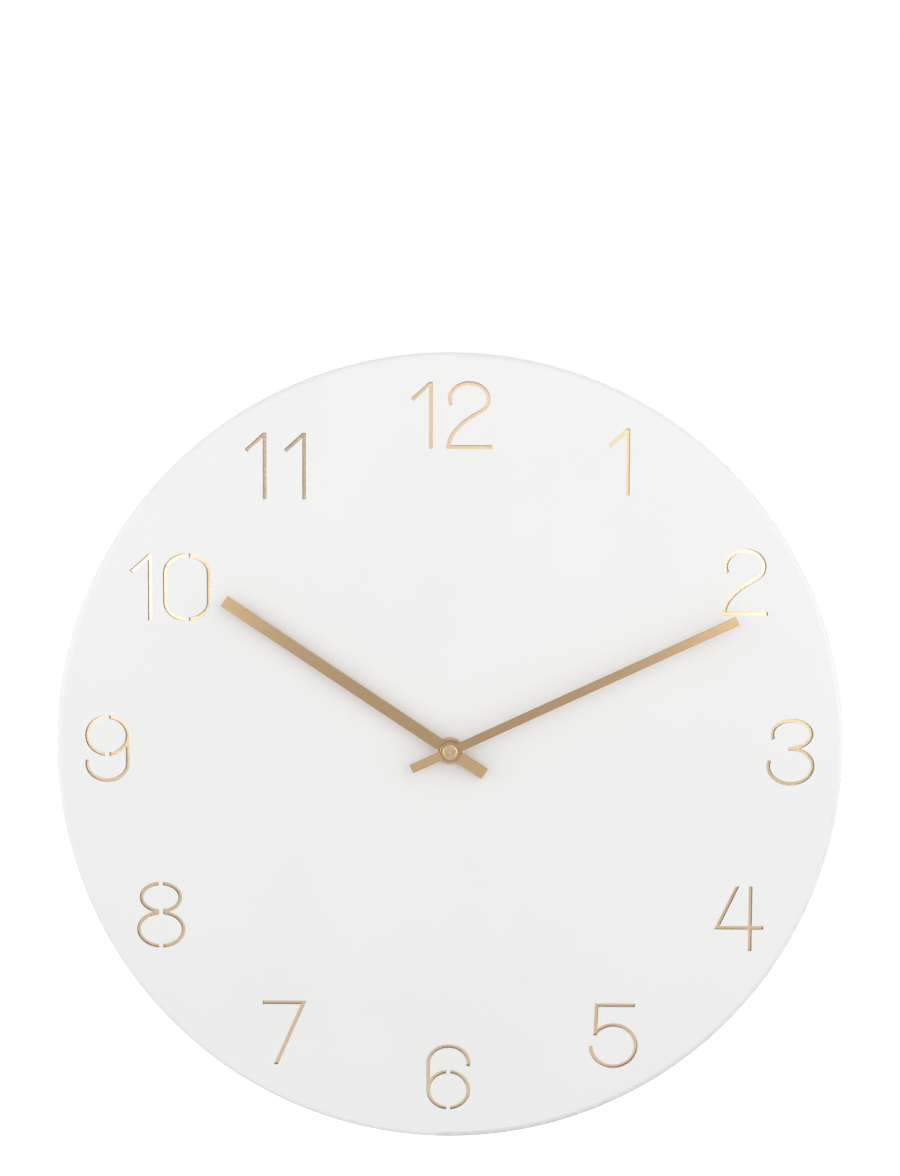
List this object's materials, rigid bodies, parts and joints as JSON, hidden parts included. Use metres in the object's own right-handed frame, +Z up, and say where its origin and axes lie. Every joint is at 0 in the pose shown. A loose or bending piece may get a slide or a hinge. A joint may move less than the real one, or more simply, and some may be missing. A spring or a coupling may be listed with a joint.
{
  "type": "wall clock",
  "caption": "Round white pressed-metal wall clock with cut-through numerals over a gold sheet, flat gold hands, a quartz movement and a rear hanger hole.",
  "frame": {"origin": "centre of the hanger hole, on the hanger plate's rear face", "axes": "+Y out of the back towards the wall, +Z up, +X to the right as seen from the front; the dial faces -Y"},
  "size_m": [0.4, 0.0347, 0.4],
  "materials": {
    "dial_white": "satin white powder coat",
    "gold_sheet": "satin gold sheet",
    "gold_hands": "brushed gold",
    "gold_turned": "turned and polished",
    "tape_foam": "closed-cell foam tape",
    "gasket_rubber": "moulded",
    "case_plastic": "fine spark texture",
    "wheel_plastic": "moulded",
    "knob_plastic": "moulded",
    "bridge_plastic": "moulded",
    "magnet": "sintered",
    "stator_steel": "stamped",
    "bobbin_plastic": "moulded",
    "coil_copper": "enamelled wire",
    "board": "solder mask",
    "chip": "epoxy blob",
    "crystal_can": "drawn can",
    "contact_steel": "nickel plated",
    "battery_wrap": "printed film",
    "hanger_steel": "zinc plated"
  },
  "bodies": {
    "clock": {"dial_pan": "dial_white", "numeral_backing_disc": "gold_sheet", "foam_tape_rings": "tape_foam", "rubber_gasket": "gasket_rubber", "bush_washer": "gold_turned", "ring_nut": "gold_turned", "wheel_bridge": "bridge_plastic", "movement_front_case": "case_plastic", "movement_rear_case": "case_plastic", "hanger_plate": "hanger_steel", "hanger_screws": "hanger_steel", "stator": "stator_steel", "coil_core": "stator_steel", "coil_bobbin": "bobbin_plastic", "coil_winding": "coil_copper", "circuit_board": "board", "driver_chip": "chip", "quartz_crystal": "crystal_can", "battery_contact_positive": "contact_steel", "battery_contact_negative": "contact_steel"},
    "minute": {"minute_pipe": "gold_turned", "minute_hand": "gold_hands", "minute_hand_boss": "gold_turned", "cap_nut": "gold_turned"},
    "hour": {"hour_wheel": "wheel_plastic", "hour_hand": "gold_hands", "hour_hand_boss": "gold_turned"},
    "motion": {"motion_wheel": "wheel_plastic"},
    "knob": {"setting_knob": "knob_plastic"},
    "centre": {"centre_wheel": "wheel_plastic"},
    "third": {"third_wheel": "wheel_plastic"},
    "seconds": {"seconds_wheel": "wheel_plastic"},
    "intermediate": {"intermediate_wheel": "wheel_plastic"},
    "rotor": {"rotor_pinion": "wheel_plastic", "rotor_magnet": "magnet"},
    "battery": {"aa_battery": "battery_wrap"}
  },
  "joints": [
    {"name": "minute_spin", "type": "hinge", "parent": "clock", "child": "minute", "pos_m": [0, -0.01, -0.034], "axis": [0, 1, 0], "continuous": true},
    {"name": "hour_spin", "type": "hinge", "parent": "clock", "child": "hour", "pos_m": [0, -0.01, -0.034], "axis": [0, 1, 0], "continuous": true},
    {"name": "motion_spin", "type": "hinge", "parent": "clock", "child": "motion", "pos_m": [-0.0084, -0.01, -0.034], "axis": [0, 1, 0], "continuous": true},
    {"name": "knob_spin", "type": "hinge", "parent": "clock", "child": "knob", "pos_m": [-0.01599, -0.01, -0.03759], "axis": [0, 1, 0], "continuous": true},
    {"name": "intermediate_spin", "type": "hinge", "parent": "clock", "child": "intermediate", "pos_m": [0.00675, -0.01, -0.02596], "axis": [0, 1, 0], "continuous": true},
    {"name": "rotor_spin", "type": "hinge", "parent": "clock", "child": "rotor", "pos_m": [0.0156, -0.01, -0.01976], "axis": [0, 1, 0], "continuous": true},
    {"name": "seconds_spin", "type": "hinge", "parent": "clock", "child": "seconds", "pos_m": [0, -0.01, -0.034], "axis": [0, 1, 0], "continuous": true},
    {"name": "third_spin", "type": "hinge", "parent": "clock", "child": "third", "pos_m": [-0.00889, -0.01, -0.02654], "axis": [0, 1, 0], "continuous": true},
    {"name": "centre_spin", "type": "hinge", "parent": "clock", "child": "centre", "pos_m": [0, -0.01, -0.034], "axis": [0, 1, 0], "continuous": true},
    {"name": "battery_slide", "type": "slide", "parent": "clock", "child": "battery", "axis": [0, 1, 0], "range_m": [0, 0.02]}
  ],
  "couplings": [
    {"joint": "hour_spin", "follows": "minute_spin", "ratio": 0.083333},
    {"joint": "motion_spin", "follows": "minute_spin", "ratio": -0.33333},
    {"joint": "knob_spin", "follows": "minute_spin", "ratio": 1},
    {"joint": "rotor_spin", "follows": "intermediate_spin", "ratio": -5},
    {"joint": "seconds_spin", "follows": "intermediate_spin", "ratio": -0.16667},
    {"joint": "third_spin", "follows": "intermediate_spin", "ratio": 0.022222},
    {"joint": "centre_spin", "follows": "intermediate_spin", "ratio": -0.0027778}
  ]
}
